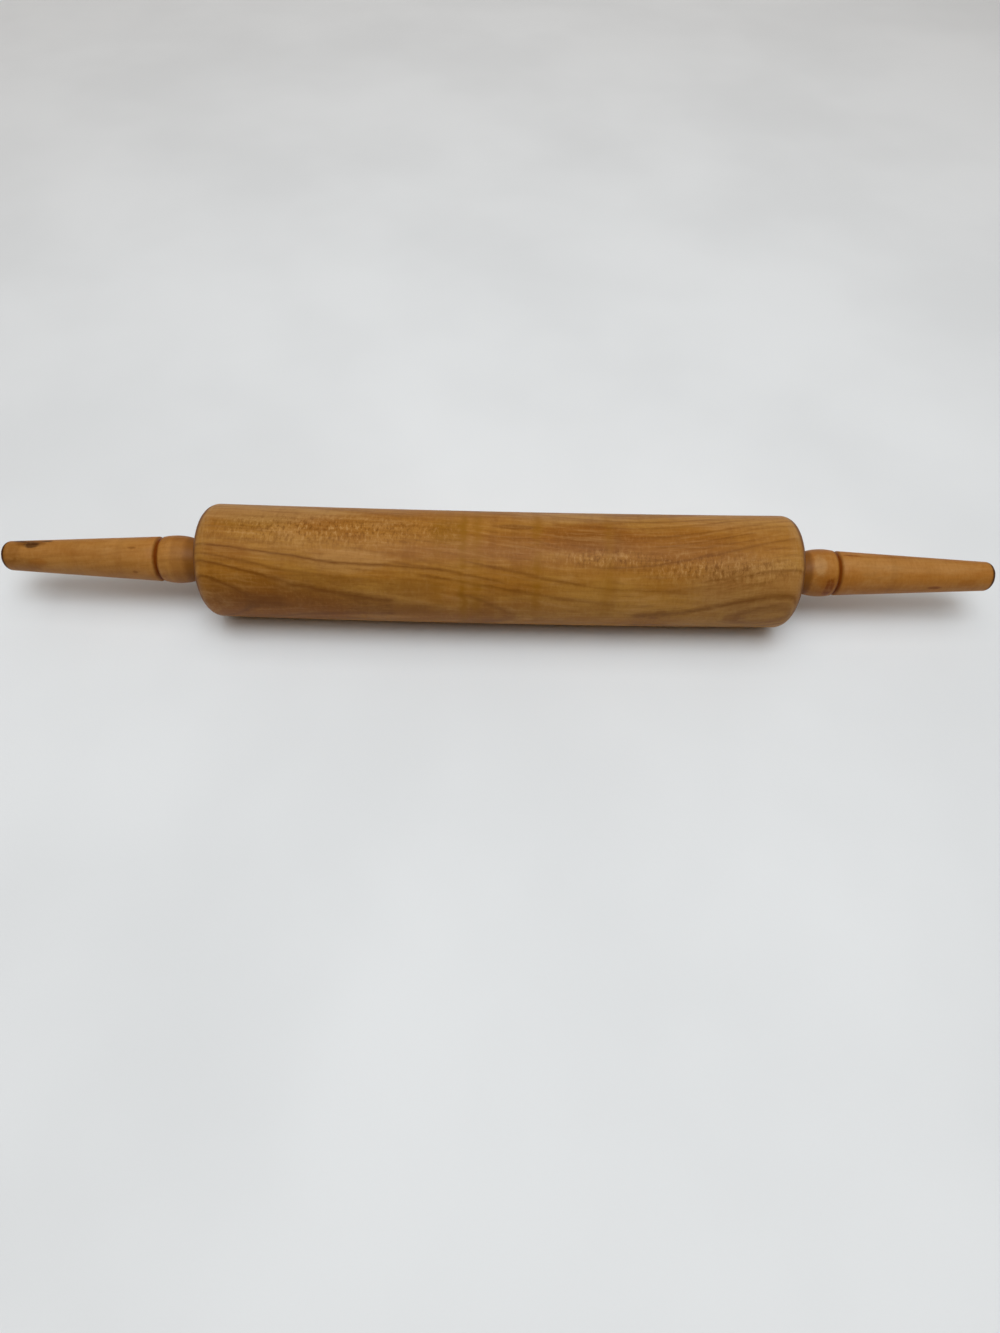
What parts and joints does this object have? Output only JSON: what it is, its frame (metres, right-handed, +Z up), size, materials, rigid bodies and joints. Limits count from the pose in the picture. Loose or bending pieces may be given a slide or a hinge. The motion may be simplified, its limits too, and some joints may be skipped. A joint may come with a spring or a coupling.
{
  "type": "rolling pin",
  "caption": "Smooth cylindrical wooden roller that turns on ball bearings about a steel axle, with a turned, tapered wooden handle at each end.",
  "frame": {"origin": "middle of the barrel's underside, on the surface that the pin lies on", "axes": "+X along the axle towards the right handle, +Z up from the surface, -Y towards the viewer"},
  "size_m": [0.45, 0.0508, 0.0507],
  "materials": {
    "barrel_wood": "satin lacquer on maple",
    "handle_wood": "satin lacquer on maple",
    "steel": "machined",
    "polished_steel": "polished",
    "plated_steel": "zinc plated",
    "brass": "punched",
    "fibre": "matt"
  },
  "bodies": {
    "axle": {"axle_rod": "steel", "left_handle": "handle_wood", "right_handle": "handle_wood", "left_handle_pin": "steel", "right_handle_pin": "steel", "left_thrust_washer": "fibre", "right_thrust_washer": "fibre", "left_bearing_cone": "steel", "right_bearing_cone": "steel", "left_retaining_ring": "steel", "right_retaining_ring": "steel"},
    "barrel": {"barrel": "barrel_wood", "left_bearing_cup": "steel", "right_bearing_cup": "steel", "left_dust_cap": "plated_steel", "right_dust_cap": "plated_steel"},
    "left_cage": {"left_ball_cage": "brass", "left_ball_1": "polished_steel", "left_ball_2": "polished_steel", "left_ball_3": "polished_steel", "left_ball_4": "polished_steel", "left_ball_5": "polished_steel", "left_ball_6": "polished_steel", "left_ball_7": "polished_steel", "left_ball_8": "polished_steel"},
    "right_cage": {"right_ball_cage": "brass", "right_ball_1": "polished_steel", "right_ball_2": "polished_steel", "right_ball_3": "polished_steel", "right_ball_4": "polished_steel", "right_ball_5": "polished_steel", "right_ball_6": "polished_steel", "right_ball_7": "polished_steel", "right_ball_8": "polished_steel"}
  },
  "joints": [
    {"name": "barrel_spin", "type": "hinge", "parent": "axle", "child": "barrel", "pos_m": [0, 0, 0.02537], "axis": [1, 0, 0], "continuous": true},
    {"name": "left_cage_spin", "type": "hinge", "parent": "axle", "child": "left_cage", "pos_m": [-0.12672, 0, 0.02537], "axis": [1, 0, 0], "continuous": true},
    {"name": "right_cage_spin", "type": "hinge", "parent": "axle", "child": "right_cage", "pos_m": [0.12672, 0, 0.02537], "axis": [1, 0, 0], "continuous": true}
  ],
  "couplings": [
    {"joint": "left_cage_spin", "follows": "barrel_spin", "ratio": 0.6041},
    {"joint": "right_cage_spin", "follows": "barrel_spin", "ratio": 0.6041}
  ]
}
